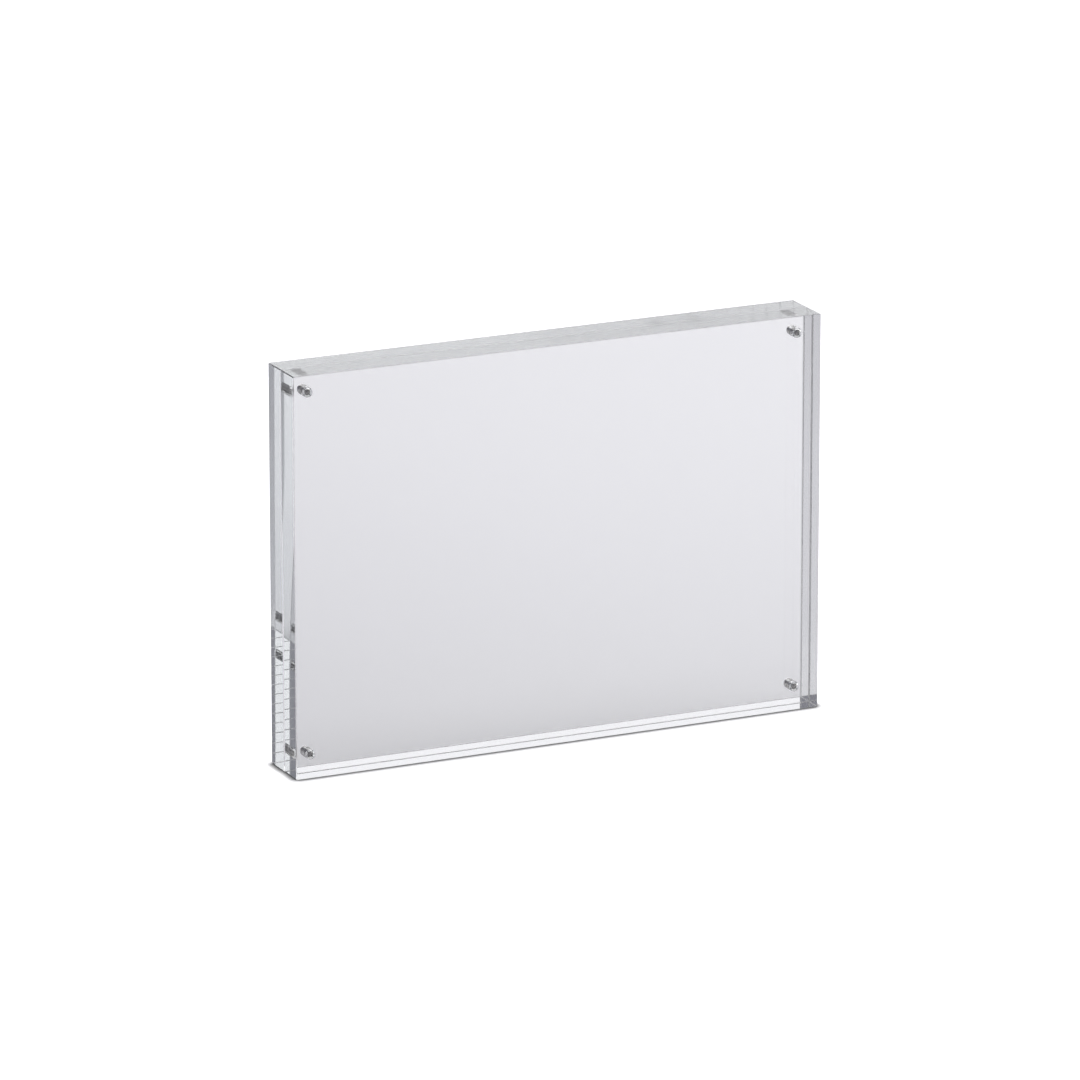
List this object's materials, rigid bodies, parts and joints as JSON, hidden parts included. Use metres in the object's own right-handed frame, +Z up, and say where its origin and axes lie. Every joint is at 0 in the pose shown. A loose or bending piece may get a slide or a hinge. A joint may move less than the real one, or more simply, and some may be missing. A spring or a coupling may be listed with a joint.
{
  "type": "acrylic block photo frame",
  "caption": "Clear acrylic block photo frame: thick polished plates that close face to face on small corner magnets and stand on their own edge to hold a print.",
  "frame": {"origin": "middle of the base, on the seam halfway between the two plates", "axes": "+X along the width, to the right as seen from the front; +Y from the front towards the back; +Z up"},
  "size_m": [0.1778, 0.0192, 0.127],
  "materials": {
    "acrylic": "polished",
    "nickel": "polished"
  },
  "bodies": {
    "rear": {"rear_block": "acrylic", "rear_magnet_top_left": "nickel", "rear_magnet_top_right": "nickel", "rear_magnet_bottom_left": "nickel", "rear_magnet_bottom_right": "nickel"},
    "front": {"front_block": "acrylic", "front_magnet_top_left": "nickel", "front_magnet_top_right": "nickel", "front_magnet_bottom_left": "nickel", "front_magnet_bottom_right": "nickel"}
  },
  "joints": [
    {"name": "front_pull", "type": "slide", "parent": "rear", "child": "front", "axis": [0, -1, 0], "range_m": [0, 0.06]}
  ]
}
